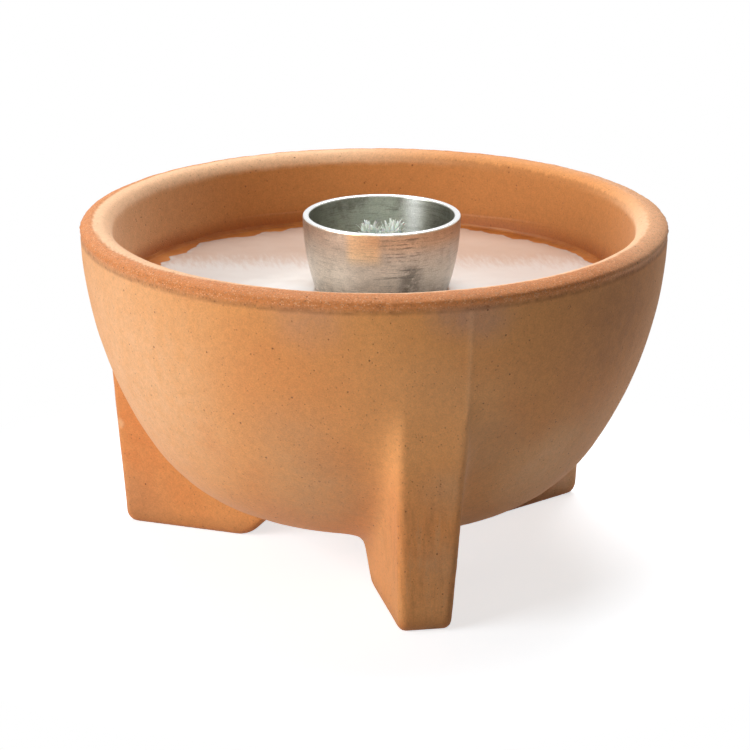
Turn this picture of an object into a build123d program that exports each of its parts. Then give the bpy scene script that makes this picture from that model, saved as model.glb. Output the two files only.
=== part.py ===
from build123d import *
import math
import os

# Garden wax burner: a terracotta bowl on three cast feet, filled with wax. An aluminium burner cup stands in
# the middle and holds a bundle of glass-fibre wick cords.
# Millimetres, +Z up. The origin is on the ground, on the bowl's axis. One foot points to the front, -Y.

# ---- bowl -------------------------------------------------------------------------------------------------
RIM_RADIUS = 110.0  # outside of the lip
BOWL_HEIGHT = 129.1  # ground to the crest of the lip
WALL = 12.2  # thickness of the wall and of the floor
GROUND_CLEARANCE = 18.9  # ground to the underside
BASE_RADIUS = 34.5  # flat part of the underside
HEEL_RADIUS = 60.5  # section radius where the underside turns up
WALL_FLARE = 1.7  # lean of the outside just below the lip, degrees
LIP_WIDTH = 7.5  # crest of the lip to the outside
LIP_DROP = 2.9  # crest of the lip down to its outermost point
LIP_INNER_DROP = 6.0  # crest of the lip down to where the inside wall starts
CREASE_DROP = 3.7  # crest of the lip down to the soft crease under it
CREASE_DEPTH = 0.5
CREASE_ROUND = 1.5

# ---- feet -------------------------------------------------------------------------------------------------
FOOT_COUNT = 3
FOOT_SETBACK = 11.0  # outside of the lip to the foot's outer face, at the ground
FOOT_INNER = 48.0  # axis to the inner end of the sole, before rounding
FOOT_TOP = 0.74  # its hidden end inside the bowl's wall, as a share of the bowl's height
FOOT_LEFT = 8.8  # radial plane to the left side, seen from outside, at the sole's outer end
FOOT_RIGHT = 10.4  # radial plane to the right side, at the sole's outer end
FOOT_LEAN = 3.1  # outward lean of the outer face, degrees
FOOT_LEFT_DRAFT = 1.4  # mould draft of the left side, degrees
FOOT_RIGHT_DRAFT = 4.4  # mould draft of the right side, degrees
FOOT_SPREAD = 1.3  # each side opens towards the axis by this much, degrees
FOOT_HEEL_ANGLE = 44.0  # rise of the inner end, degrees
FOOT_HEEL_ROUND = 12.0
FOOT_TOE_ROUND = 4.5
FOOT_EDGE_ROUND = 3.0
FOOT_COVE = 2 * FOOT_EDGE_ROUND  # fillet between the feet and the bowl

# ---- wax --------------------------------------------------------------------------------------------------
WAX_LEVEL = 101.7
WAX_GAP = 0.3  # the wax shrinks away from the cup
CORE_SINK = 2.5  # wax inside the cup below the level outside

# ---- burner cup -------------------------------------------------------------------------------------------
CUP_OFFSET = 2.9  # the cup stands this far from the bowl's axis
CUP_OFFSET_TURN = -10.4  # in this direction, degrees from +X
CUP_PROUD = 1.2  # its rim above the crest of the lip
CUP_RADIUS = 29.65
CUP_WALL = 2.4
CUP_FLOOR = 2.4
CUP_BARREL = 88.0  # section radius of the upper part
CUP_SLOPE = 19.5  # steepest slope of the side, degrees from vertical
CUP_STRAIGHT = 8.0
CUP_THROAT = 90.0  # section radius where the slope eases towards the stem
CUP_STEM_DRAFT = 2.0  # slope of the stem, degrees from vertical
CUP_RIM_ROUND = 0.7
LEDGE_DEPTH = 66.0  # rim of the cup to the step that the wick plate sits on
LEDGE_WIDTH = 1.6
INLET_COUNT = 4
INLET_WIDTH = 9.0
INLET_HEIGHT = 8.0
INLET_ROUND = 3.0

# ---- wick -------------------------------------------------------------------------------------------------
CORD_RADIUS = 2.5
CORD_CIRCLE = 7.0  # radius of the circle that the cords stand on
CORD_TURN = 43.6  # angle of the first cord, degrees
CORD_GAP = 0.3  # running clearance of the cords in the wick plate and in the wax
CORD_REST = 5.0  # the cords end this far above the cup's floor, so that wax runs in under them
FRAY_RADIUS = 3.7  # spread of the frayed tips
FRAY_LENGTH = 12.0
FRAY_CROWN = 2.0
TIPS_BELOW_RIM = (2.6, 2.8, 7.2, 8.6, 6.4)  # tip of each cord below the rim of the cup
PLATE_THICKNESS = 1.5
PLATE_GAP = 0.15
VENT_RADIUS = 2.0

# ---- derived ----------------------------------------------------------------------------------------------
SHOULDER_Z = BOWL_HEIGHT - LIP_DROP
CREST_RADIUS = RIM_RADIUS - LIP_WIDTH
FLOOR_Z = GROUND_CLEARANCE + WALL
RIM_Z = BOWL_HEIGHT + CUP_PROUD
LEDGE_Z = RIM_Z - LEDGE_DEPTH
CORE_Z = WAX_LEVEL - CORE_SINK
CORD_FOOT_Z = FLOOR_Z + CUP_FLOOR + CORD_REST
FOOT_OUTER = RIM_RADIUS - FOOT_SETBACK
CORD_COUNT = len(TIPS_BELOW_RIM)
FOOT_PITCH = 360 / FOOT_COUNT


def polar(radius, degrees):
    """The point at this radius and angle."""
    angle = math.radians(degrees)
    return Vector(radius * math.cos(angle), radius * math.sin(angle))


def revolve_section(edges):
    """The solid that a closed outline in the XZ plane sweeps about the Z axis."""
    return revolve(Plane.XZ * make_face(Wire(edges)), Axis.Z)


def arc(centre, radius, start, end):
    """An arc about a centre, from one angle to another."""
    angles = (start, (start + end) / 2, end)
    return ThreePointArc(*[centre + polar(radius, angle) for angle in angles])


def bowl_arcs():
    """The heel arc's centre, the side arc's centre and radius, and the angle at which the two arcs meet."""
    heel_centre = Vector(BASE_RADIUS, GROUND_CLEARANCE + HEEL_RADIUS)
    shoulder = Vector(RIM_RADIUS, SHOULDER_Z)
    outward = polar(1, -WALL_FLARE)
    across = heel_centre - shoulder
    side_radius = (across.dot(across) - HEEL_RADIUS**2) / (-2 * (across.dot(outward) + HEEL_RADIUS))
    side_centre = shoulder - outward * side_radius
    join = heel_centre - side_centre
    return heel_centre, side_centre, side_radius, math.degrees(math.atan2(join.Y, join.X))


HEEL_CENTRE, SIDE_CENTRE, SIDE_RADIUS, JOIN_ANGLE = bowl_arcs()


def bowl_line(inset, top_z):
    """The bowl's outside moved inwards: floor line, heel arc and side arc, from the axis to a height."""
    heel, side = HEEL_RADIUS - inset, SIDE_RADIUS - inset
    start = Vector(0, HEEL_CENTRE.Y - heel)
    top_angle = math.degrees(math.asin((top_z - SIDE_CENTRE.Y) / side))
    floor_line = Line(start, Vector(HEEL_CENTRE.X, start.Y))
    heel_arc = arc(HEEL_CENTRE, heel, -90, JOIN_ANGLE)
    side_arc = arc(SIDE_CENTRE, side, JOIN_ANGLE, top_angle)
    return [floor_line, heel_arc, side_arc]


def bowl_block():
    """The bowl without its feet or its hollow."""
    outside = bowl_line(0, SHOULDER_Z)
    lip = EllipticalCenterArc((CREST_RADIUS, SHOULDER_Z), LIP_WIDTH, LIP_DROP, arc_size=90)
    top = Vector(0, BOWL_HEIGHT)
    block = revolve_section(outside + [lip, Line(lip @ 1, top), Line(top, outside[0] @ 0)])
    crease_x = RIM_RADIUS - CREASE_DEPTH + CREASE_ROUND
    crease = Plane.XZ * Pos(crease_x, BOWL_HEIGHT - CREASE_DROP) * Circle(CREASE_ROUND)
    return block - revolve(crease, Axis.Z)


def bowl_hollow():
    """The space inside the bowl, with the inner half of the lip's rounding."""
    inside = bowl_line(WALL, BOWL_HEIGHT - LIP_INNER_DROP)
    wall_top = inside[-1] @ 1
    lip_width = CREST_RADIUS - wall_top.X
    lip_centre = (CREST_RADIUS, wall_top.Y)
    lip = EllipticalCenterArc(lip_centre, lip_width, LIP_INNER_DROP, start_angle=90, arc_size=90)
    above = [Vector(CREST_RADIUS, RIM_Z), Vector(0, RIM_Z)]
    cap = [Line(lip @ 0, above[0]), Line(above[0], above[1]), Line(above[1], inside[0] @ 0)]
    return revolve_section(inside + [lip] + cap)


def foot_plan(z, far):
    """A foot's thickness in plan at a height, from the axis to beyond its outer face."""
    corners = []
    for x, sign in ((0, 1), (far, 1), (far, -1), (0, -1)):
        half, draft = (FOOT_RIGHT, FOOT_RIGHT_DRAFT) if sign > 0 else (FOOT_LEFT, FOOT_LEFT_DRAFT)
        half += (FOOT_OUTER - x) * math.tan(math.radians(FOOT_SPREAD)) + z * math.tan(math.radians(draft))
        corners.append((x, sign * half))
    return Pos(0, 0, z) * make_face(Polyline(*corners, close=True))


def foot():
    """One foot along +X, reaching into the bowl's wall: its side view cut to the drafted thickness."""
    top_z = FOOT_TOP * BOWL_HEIGHT
    out_top = FOOT_OUTER + top_z * math.tan(math.radians(FOOT_LEAN))
    heel_z = GROUND_CLEARANCE + WALL / 2
    heel_x = FOOT_INNER - heel_z / math.tan(math.radians(FOOT_HEEL_ANGLE))
    toe, heel = (FOOT_OUTER, 0), (FOOT_INNER, 0)
    corners = [heel, toe, (out_top, top_z), (heel_x, top_z), (heel_x, heel_z)]
    side = make_face(Polyline(*corners, close=True))
    for corner, radius in ((toe, FOOT_TOE_ROUND), (heel, FOOT_HEEL_ROUND)):
        side = fillet(side.vertices().sort_by_distance(corner)[0], radius)
    blade = extrude(Plane.XZ * side, FOOT_OUTER, both=True)
    plans = [foot_plan(z, 2 * FOOT_OUTER) for z in (-WALL, top_z + WALL)]
    body = blade & loft(plans, ruled=True)
    outer_face = body.faces().sort_by(Axis.X)[-1]
    return fillet(outer_face.edges().filter_by(Axis.Y, reverse=True), FOOT_EDGE_ROUND)


def make_bowl():
    """The bowl and its feet, one piece of clay."""
    body, one_foot = Rot(0, 0, -90 + FOOT_PITCH / 2) * bowl_block(), foot()
    for k in range(FOOT_COUNT):
        turned = Rot(0, 0, -90 + k * FOOT_PITCH) * one_foot
        joined = body + turned
        body = fillet(new_edges(body, turned, combined=joined), FOOT_COVE)
    return body - bowl_hollow()


def cup_solid(inset, bottom_z):
    """The cup's outline, moved inwards, as a solid that stands on a height and ends level with its rim."""
    barrel_centre = Vector(CUP_RADIUS - CUP_BARREL, RIM_Z)
    slope_start = barrel_centre + polar(CUP_BARREL, -CUP_SLOPE)
    slope_end = slope_start + polar(CUP_STRAIGHT, -90 - CUP_SLOPE)
    throat_centre = slope_end + polar(CUP_THROAT, -CUP_SLOPE)
    barrel = arc(barrel_centre, CUP_BARREL - inset, 0, -CUP_SLOPE)
    throat = arc(throat_centre, CUP_THROAT + inset, 180 - CUP_SLOPE, 180 - CUP_STEM_DRAFT)
    stem_top = throat @ 1
    stem_foot_x = stem_top.X - (stem_top.Y - bottom_z) * math.tan(math.radians(CUP_STEM_DRAFT))
    corners = [stem_top, Vector(stem_foot_x, bottom_z), Vector(0, bottom_z), Vector(0, RIM_Z), barrel @ 0]
    lines = [Line(a, b) for a, b in zip(corners, corners[1:])]
    return revolve_section([barrel, Line(barrel @ 1, throat @ 0), throat] + lines)


def cup_cavity():
    """The space inside the cup, with the step that carries the wick plate."""
    above = cup_solid(CUP_WALL, LEDGE_Z)
    below = cup_solid(CUP_WALL + LEDGE_WIDTH, FLOOR_Z + CUP_FLOOR)
    return above + below


def inlets():
    """The tools that cut the wax inlets through the foot of the cup's stem."""
    shape = RectangleRounded(INLET_WIDTH, INLET_HEIGHT, INLET_ROUND)
    sill = FLOOR_Z + CUP_FLOOR + INLET_HEIGHT / 2
    tool = extrude(Plane.YZ.offset(CORD_CIRCLE) * Pos(0, sill) * shape, CUP_RADIUS)
    return [Rot(0, 0, (k + 0.5) * 360 / INLET_COUNT) * tool for k in range(INLET_COUNT)]


def make_cup(cavity):
    """The aluminium burner cup."""
    cup = cup_solid(0, FLOOR_Z) - cavity
    rim = cup.edges().filter_by(GeomType.CIRCLE).group_by(Axis.Z)[-1]
    return fillet(rim, CUP_RIM_ROUND) - inlets()


def cord_places():
    """Where the cords stand."""
    return list(PolarLocations(CORD_CIRCLE, CORD_COUNT, start_angle=CORD_TURN))


def cord_channels(bottom_z, top_z):
    """The holes that the cords run in."""
    channel = Pos(0, 0, bottom_z) * extrude(Circle(CORD_RADIUS + CORD_GAP), top_z - bottom_z)
    return [place * channel for place in cord_places()]


def make_plate():
    """The perforated steel plate that keeps the cords apart, on the step inside the cup."""
    top_z = LEDGE_Z + PLATE_THICKNESS
    plate = split(cup_solid(CUP_WALL + PLATE_GAP, LEDGE_Z), Plane.XY.offset(top_z), keep=Keep.BOTTOM)
    vent = Pos(0, 0, LEDGE_Z) * extrude(Circle(VENT_RADIUS), PLATE_THICKNESS)
    return plate - cord_channels(LEDGE_Z, top_z) - vent


def make_core(cavity, plate):
    """The wax inside the cup, through the plate's vent and in the inlets."""
    ports = [tool & cup_solid(0, FLOOR_Z) for tool in inlets()]
    room = split(cavity, Plane.XY.offset(CORE_Z), keep=Keep.BOTTOM)
    for port in ports:
        room = room + port
    return room - plate - cord_channels(CORD_FOOT_Z, CORE_Z)


def make_cord(tip_z):
    """One wick cord: straight, with a tip that frays outwards."""
    fray_z, crown_z = tip_z - FRAY_LENGTH, tip_z - FRAY_CROWN
    side = [(0, CORD_FOOT_Z), (CORD_RADIUS, CORD_FOOT_Z), (CORD_RADIUS, fray_z), (FRAY_RADIUS, crown_z)]
    lines = [Line(a, b) for a, b in zip(side, side[1:])]
    radius = (FRAY_RADIUS**2 + FRAY_CROWN**2) / (2 * FRAY_CROWN)
    crown = arc(Vector(0, tip_z - radius), radius, 90 - math.degrees(math.asin(FRAY_RADIUS / radius)), 90)
    return revolve_section(lines + [crown, Line((0, tip_z), side[0])])


def make_wax(cup_place):
    """The wax in the bowl, around the cup."""
    inside = bowl_line(WALL, WAX_LEVEL)
    top = inside[-1] @ 1
    cap = [Line(top, Vector(0, WAX_LEVEL)), Line(Vector(0, WAX_LEVEL), inside[0] @ 0)]
    return revolve_section(inside + cap) - cup_place * cup_solid(-WAX_GAP, FLOOR_Z)


cup_place = Pos(polar(CUP_OFFSET, CUP_OFFSET_TURN))
cavity = cup_cavity()
plate = make_plate()
parts = {
    "bowl": make_bowl(),
    "wax_fill": make_wax(cup_place),
    "burner_cup": cup_place * make_cup(cavity),
    "wick_plate": cup_place * plate,
    "wax_core": cup_place * make_core(cavity, plate),
}
for number, (place, drop) in enumerate(zip(cord_places(), TIPS_BELOW_RIM), 1):
    parts[f"wick_cord_{number}"] = cup_place * place * make_cord(RIM_Z - drop)

os.makedirs("parts", exist_ok=True)
for name, shape in parts.items():
    solid = shape.solid()
    solid.label = name
    export_step(solid, f"parts/{name}.step")
    print(name, len(shape.solids()), round(shape.volume), shape.is_valid)
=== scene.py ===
"""Garden wax burner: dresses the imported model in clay, wax, metal and wick finishes, and lights it."""

import math
import random

import bmesh
import bpy
import numpy as np
from bpy.props import FloatProperty, FloatVectorProperty, IntProperty, PointerProperty
from mathutils import Matrix, Vector, noise
from mathutils.bvhtree import BVHTree


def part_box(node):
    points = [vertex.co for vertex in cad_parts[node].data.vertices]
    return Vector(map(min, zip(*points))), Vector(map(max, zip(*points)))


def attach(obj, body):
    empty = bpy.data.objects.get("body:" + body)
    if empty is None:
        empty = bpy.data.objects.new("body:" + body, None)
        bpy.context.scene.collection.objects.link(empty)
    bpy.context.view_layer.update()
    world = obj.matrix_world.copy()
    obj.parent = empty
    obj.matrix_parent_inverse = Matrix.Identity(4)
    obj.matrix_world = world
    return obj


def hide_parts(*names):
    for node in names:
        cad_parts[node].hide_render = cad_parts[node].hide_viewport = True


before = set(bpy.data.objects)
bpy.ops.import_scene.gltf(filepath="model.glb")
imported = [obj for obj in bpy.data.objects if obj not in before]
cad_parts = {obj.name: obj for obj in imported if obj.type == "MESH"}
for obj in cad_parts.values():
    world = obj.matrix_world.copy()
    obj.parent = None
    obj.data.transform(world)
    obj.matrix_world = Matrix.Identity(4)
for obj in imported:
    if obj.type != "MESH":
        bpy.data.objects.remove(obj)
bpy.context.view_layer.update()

bl_info = {
    "name": "Garden wax burner",
    "version": (1, 0, 0),
    "blender": (4, 5, 0),
    "location": "View3D > Sidebar > Burner",
    "description": "Dresses the packed wax burner: terracotta bowl, wax, burner cup and wick",
    "category": "Object",
}

MM = 0.001
BOWL_LOW, BOWL_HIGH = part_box("bowl")
WAX_LOW, WAX_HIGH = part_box("wax_fill")
CUP_LOW, CUP_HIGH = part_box("burner_cup")
CORDS = sorted(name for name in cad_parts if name.startswith("wick_cord"))
CUP_CENTRE = (CUP_LOW + CUP_HIGH) / 2
RIM_RADIUS = (BOWL_HIGH.x - BOWL_LOW.x) / 2
CREST_Z = BOWL_HIGH.z
WAX_Z = WAX_HIGH.z
WAX_RADIUS = (WAX_HIGH.x - WAX_LOW.x) / 2
CORE_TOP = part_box("wax_core")[1].z
FOOT_ANGLES = (-90, 30, 150)  # degrees from +X, as the bowl stands in the frame
CAMERA_TURN = -10.4  # degrees round the bowl from its front foot


# ---- property helpers ----
def size(default, name, description):
    """A length property, in metres."""
    return FloatProperty(name=name, description=description, default=default, unit="LENGTH", precision=5)


def angle(degrees, name, description):
    """An angle property, whose default is given in degrees."""
    return FloatProperty(name=name, description=description, default=math.radians(degrees), subtype="ANGLE")


def amount(default, name, description):
    """A plain number property."""
    return FloatProperty(name=name, description=description, default=default)


def count(default, name, description):
    """A whole number property."""
    return IntProperty(name=name, description=description, default=default)


def srgb(red, green, blue):
    """An 8-bit colour as the linear values that Blender keeps."""
    return tuple(
        c / 12.92 if c <= 0.04045 else ((c + 0.055) / 1.055) ** 2.4
        for c in (v / 255 for v in (red, green, blue))
    )


def colour(red, green, blue, name, place):
    """A colour property, whose default is given in 8-bit values, for this place."""
    return FloatVectorProperty(
        name=name, description="Colour of the " + place, default=srgb(red, green, blue),
        subtype="COLOR", min=0, max=1
    )


# ---- object and mesh helpers ----
def add_object(name, data):
    """Puts an object with this data in the scene."""
    made = bpy.data.objects.new(name, data)
    bpy.context.scene.collection.objects.link(made)
    return made


def add_piece(name, mesh, material, body, replaced=()):
    """Puts a mesh in the scene as a piece of the burner."""
    piece = add_object(name, mesh)
    mesh.materials.clear()
    mesh.materials.append(material)
    mesh.shade_smooth()
    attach(piece, body)
    if replaced:
        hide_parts(*replaced)


def make_mesh(name, points, faces):
    """A mesh from points and faces, with its normals turned outwards."""
    mesh = bpy.data.meshes.new(name)
    mesh.from_pydata([tuple(p) for p in points], [], [tuple(f) for f in faces])
    builder = bmesh.new()
    builder.from_mesh(mesh)
    bmesh.ops.recalc_face_normals(builder, faces=builder.faces)
    builder.to_mesh(mesh)
    builder.free()
    return mesh


def ring_faces(rows, columns):
    """Faces of a grid that closes both ways, as round a torus."""
    return [
        (i * columns + j, i * columns + (j + 1) % columns,
         (i + 1) % rows * columns + (j + 1) % columns, (i + 1) % rows * columns + j)
        for i in range(rows) for j in range(columns)
    ]


def grid_faces(rows, columns):
    """Faces of a grid whose columns close round and whose two ends stay open, as round a tube."""
    return ring_faces(rows, columns)[:-columns]


def points_of(mesh, kind="co"):
    """The vertices of a mesh as an array, or their normals."""
    values = np.empty(len(mesh.vertices) * 3)
    mesh.vertices.foreach_get(kind, values)
    return values.reshape(-1, 3)


def set_points(mesh, points):
    """Writes an array back to the vertices of a mesh."""
    mesh.vertices.foreach_set("co", points.reshape(-1))
    mesh.update()


def mark(mesh, name, values):
    """Keeps one number for each vertex, for a material to read."""
    layer = mesh.attributes.new(name, "FLOAT", "POINT")
    layer.data.foreach_set("value", np.ascontiguousarray(values, dtype=np.float32))


def relief(points, scale, offset=0.0):
    """Smooth noise from -1 to 1 at each point, with lumps of about this size."""
    shift = Vector((offset, 2 * offset, -offset))
    return np.array([noise.noise(Vector(p) / scale + shift) for p in points])


def surface_of(node):
    """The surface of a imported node, for nearest points and rays."""
    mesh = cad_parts[node].data
    return BVHTree.FromPolygons([v.co for v in mesh.vertices], [tuple(p.vertices) for p in mesh.polygons])


def smooth_step(low, high, values):
    """Rises smoothly from 0 at low to 1 at high."""
    t = np.clip((values - low) / (high - low), 0, 1)
    return t * t * (3 - 2 * t)


def bell(values, width):
    """1 at 0, falling smoothly away on both sides over this width."""
    return np.exp(-((values / width) ** 2))


# ---- material helpers ----
class Finish:
    """A procedural material under construction: short calls that add and link nodes."""

    def __init__(self, name):
        self.material = bpy.data.materials.new(name)
        self.material.use_nodes = True
        self.tree = self.material.node_tree
        self.shader = self.tree.nodes["Principled BSDF"]
        self.place = self.node("ShaderNodeTexCoord").outputs["Object"]

    def node(self, kind, **options):
        """Adds a node, with these of its properties set."""
        made = self.tree.nodes.new(kind)
        for key, value in options.items():
            setattr(made, key, value)
        return made

    def put(self, socket, value):
        """Links an output to a socket, or sets a plain value on it."""
        if isinstance(value, bpy.types.NodeSocket):
            self.tree.links.new(value, socket)
        elif hasattr(value, "__len__") and len(value) == 3 and socket.type == "RGBA":
            socket.default_value = (*value, 1)
        else:
            socket.default_value = value

    def math(self, operation, *values):
        """One number worked out from others."""
        made = self.node("ShaderNodeMath", operation=operation)
        for socket, value in zip(made.inputs, values):
            self.put(socket, value)
        return made.outputs[0]

    def times(self, first, second):
        """The product of two numbers."""
        return self.math("MULTIPLY", first, second)

    def vector(self, operation, *values):
        """A vector, or its length, worked out from others."""
        made = self.node("ShaderNodeVectorMath", operation=operation)
        for socket, value in zip(made.inputs, values):
            self.put(socket, value)
        return made.outputs["Value" if operation in ("LENGTH", "DOT_PRODUCT", "DISTANCE") else "Vector"]

    def scaled(self, x, y, z):
        """The object position, stretched along each axis."""
        return self.vector("MULTIPLY", self.place, (x, y, z))

    def split(self, source=None):
        """The three parts of a vector, or of the object position."""
        made = self.node("ShaderNodeSeparateXYZ")
        self.put(made.inputs[0], source or self.place)
        return made.outputs

    def noise(self, scale, detail=2.0, roughness=0.5, place=None):
        """Noise with this many lumps to the metre, from 0 to 1."""
        made = self.node("ShaderNodeTexNoise")
        self.put(made.inputs["Vector"], place or self.place)
        made.inputs["Scale"].default_value = scale
        made.inputs["Detail"].default_value = detail
        made.inputs["Roughness"].default_value = roughness
        return made.outputs["Fac"]

    def cells(self, scale):
        """Cells, this many to the metre: the distance to a cell's centre, and its random colour."""
        made = self.node("ShaderNodeTexVoronoi")
        self.put(made.inputs["Vector"], self.place)
        made.inputs["Scale"].default_value = scale
        return made.outputs["Distance"], made.outputs["Color"]

    def ramp(self, value, low, high, start=0.0, end=1.0):
        """Maps a value from low..high to start..end, smoothly and with the ends held."""
        made = self.node("ShaderNodeMapRange", interpolation_type="SMOOTHSTEP")
        keys = ("Value", "From Min", "From Max", "To Min", "To Max")
        for key, item in zip(keys, (value, low, high, start, end)):
            self.put(made.inputs[key], item)
        return made.outputs["Result"]

    def mix(self, factor, first, second, blend="MIX"):
        """Mixes two colours."""
        made = self.node("ShaderNodeMix", data_type="RGBA", blend_type=blend)
        self.put(made.inputs["Factor"], factor)
        self.put(made.inputs[6], first)
        self.put(made.inputs[7], second)
        return made.outputs[2]

    def tone(self, tint, value):
        """Makes a colour lighter or darker by a factor."""
        return self.mix(1.0, tint, value, "MULTIPLY")

    def tinted(self, base, tint, where, strength):
        """Tints a colour where it is marked, as strongly as this."""
        return self.mix(self.times(where, strength), base, tint)

    def marked(self, name):
        """The number that the mesh keeps for each vertex under this name."""
        return self.node("ShaderNodeAttribute", attribute_name=name).outputs["Fac"]

    def near(self, x, y, z, reach, edge=0.5):
        """1 close to a place in the object, falling to 0 at this reach."""
        distance = self.vector("DISTANCE", self.place, (x, y, z))
        return self.ramp(distance, reach * edge, reach, 1.0, 0.0)

    def bump(self, height, distance, below=None):
        """Adds relief of this depth, in metres, to what is below it."""
        made = self.node("ShaderNodeBump")
        made.inputs["Distance"].default_value = distance
        self.put(made.inputs["Height"], height)
        if below:
            self.put(made.inputs["Normal"], below)
        return made.outputs["Normal"]

    def glow(self, strength):
        """Plain white light from the surface."""
        made = self.node("ShaderNodeEmission")
        made.inputs["Color"].default_value = (1, 1, 1, 1)
        made.inputs["Strength"].default_value = strength
        return made.outputs[0]

    def joined(self, kind, *values):
        """Mixes or adds shaders with a node of this kind."""
        made = self.node(kind)
        for socket, value in zip(made.inputs, values):
            self.tree.links.new(value, socket)
        return made.outputs[0]

    def finish(self, **values):
        """Sets or links the shader's sockets, and returns the material."""
        for key, value in values.items():
            self.put(self.shader.inputs[key.replace("_", " ")], value)
        return self.material


# ---- clay bowl ----
class BurnerClay(bpy.types.PropertyGroup):
    """The terracotta bowl."""

    grid: size(1.1 * MM, "Grid", "Spacing of the bowl's mesh")
    cove_rounds: count(60, "Cove", "Rounds of filling beside the feet")
    unevenness: size(0.25 * MM, "Unevenness", "How far the clay departs from a true surface")
    bead_grain: size(0.12 * MM, "Bead grain", "Height of the sandy grain along the lip's outer bead")
    seam_height: size(0.25 * MM, "Seam height", "Height of the mould seams above the feet")
    bead: size(4.4 * MM, "Bead", "Width of the sandy bead where it is narrowest")
    bead_growth: size(2.6 * MM, "Bead growth", "How much wider the bead is on the other side")
    bead_depth: size(4.4 * MM, "Bead depth", "How far the bead reaches down the outside")
    crease_depth: size(4.9 * MM, "Crease depth", "How far below the crest the crease under the bead runs")
    step: size(0.2 * MM, "Bead step", "How far the lip's outer bead stands above its smooth inner band")
    base: colour(229, 154, 85, "Clay", "fired clay")
    # Also painted light: the painted highlight on the left flank, painted light low on the front right, and
    # on the left of the wall above the wax.
    pale: colour(238, 180, 128, "Pale clay", "smooth band of the lip and of rubbed places")
    # Also the painted highlight on rubbed edges.
    deep: colour(220, 134, 70, "Deep clay", "richer orange places and the bead")
    chalk: colour(214, 158, 108, "Chalk", "greyish chalky places")
    bloom: colour(188, 142, 118, "Bloom", "lilac bloom under the lip")
    # Painted shade: this colour darkens the right side of the body, away from the key lamp, and the sole of
    # the back left foot by the floor.
    smoke_and_shade: colour(198, 130, 76, "Browned clay", "side that fired browner")
    # Also painted shade on the right side under the lip.
    brown: colour(172, 112, 62, "Brown clay", "brownest places")
    inner: colour(208, 138, 74, "Inner wall", "wall above the wax")
    soaked: colour(186, 108, 42, "Soaked clay", "wall where wax has soaked in")
    # Also painted light on the right-hand part of the bead.
    lip: colour(250, 198, 152, "Lip", "smooth inner band of the lip")
    # Painted light: this tint lightens the front of the body.
    light: colour(244, 168, 100, "Light clay", "lighter side")
    shade: colour(146, 84, 42, "Crease", "crease under the bead")
    grain: colour(250, 198, 150, "Bright grain", "bright grains in the bead")
    pit: colour(132, 66, 32, "Pits", "small dark pinholes")


CLAY_MARKS = ("bead", "band", "crease", "seam", "worn", "inside")
COVE_PACE = 0.9  # share of a hollow that one round of filling takes away
LIP_INSET = 3 * MM  # from the rim's outside in to where the smooth band can start
SEAM_ASIDE = 15 * MM  # from the middle of a foot to the mould seam beside it
SEAM_WIDTH = 0.9 * MM
CREASE_WIDTH = 0.55 * MM
SOLE_KEPT = 2 * MM  # height below which the soles stay flat

# Tint, place in millimetres, reach in millimetres and strength of each tinted place on the outside:
# discoloured clay, and painted light and shade where marked.
CLAY_PATCHES = (
    # Painted highlight: the left flank, which faces the key lamp, is paler.
    ("pale", (-98, -38, 85), 78, 0.9),
    # Painted light on the front of the body.
    ("light", (-24, -96, 70), 62, 0.9),
    ("deep", (-48, -92, 92), 44, 0.55),
    ("deep", (-33, -89, 64), 18, 0.6),
    ("chalk", (-46, -88, 72), 26, 0.5),
    ("chalk", (-34, -78, 47), 34, 0.8),
    ("bloom", (-42, -101, 123), 20, 0.4),
    ("bloom", (8, -109, 123), 14, 0.5),
    ("bloom", (20, -108, 121), 16, 0.5),
    ("chalk", (26, -94, 66), 24, 0.7),
    # Painted shade on the right side, away from the key lamp.
    ("smoke_and_shade", (80, -78, 95), 75, 0.7),
    ("chalk", (62, -66, 50), 40, 0.7),
    ("chalk", (7, -102, 54), 13, 0.7),
    ("chalk", (5, -101, 28), 12, 0.7),
    ("deep", (-6, -102, 40), 30, 0.5),
    ("chalk", (-92, 40, 12), 14, 0.7),
    ("deep", (-92, 38, 40), 50, 0.9),
    ("pale", (-93, 38, 41), 3, 1.0),
    # Painted shade at the sole of the back left foot, by the floor.
    ("smoke_and_shade", (-90, 40, 4), 26, 0.9),
    ("lip", (77, 34, 5), 34, 0.9),
    # Painted light low on the front right, as from light thrown up by the floor.
    ("pale", (47, -77, 52), 26, 0.7),
    # Painted shade on the right side under the lip.
    ("brown", (77, -77, 107), 34, 0.6),
    ("deep", (70, 62, 90), 45, 0.8),
    ("chalk", (20, 92, 75), 38, 0.7),
    ("pale", (-40, 96, 95), 50, 0.6),
)


def links_of(mesh):
    """The two ends of each edge, and how many edges meet at each vertex."""
    edges = np.empty(len(mesh.edges) * 2, dtype=np.int64)
    mesh.edges.foreach_get("vertices", edges)
    a, b = edges.reshape(-1, 2).T
    total = len(mesh.vertices)
    return a, b, np.bincount(a, minlength=total) + np.bincount(b, minlength=total)


def vertex_mean(values, links):
    """The mean of each vertex's neighbours."""
    a, b, count = links
    total = np.stack(
        [
            np.bincount(a, values[b, k], len(values)) + np.bincount(b, values[a, k], len(values))
            for k in range(values.shape[1])
        ],
        axis=1,
    )
    return total / count[:, None]


def foot_frame(points, degrees):
    """Distance out along a foot's direction and across it, for each point."""
    turn = math.radians(degrees)
    out = points[:, 0] * math.cos(turn) + points[:, 1] * math.sin(turn)
    across = -points[:, 0] * math.sin(turn) + points[:, 1] * math.cos(turn)
    return out, across


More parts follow.
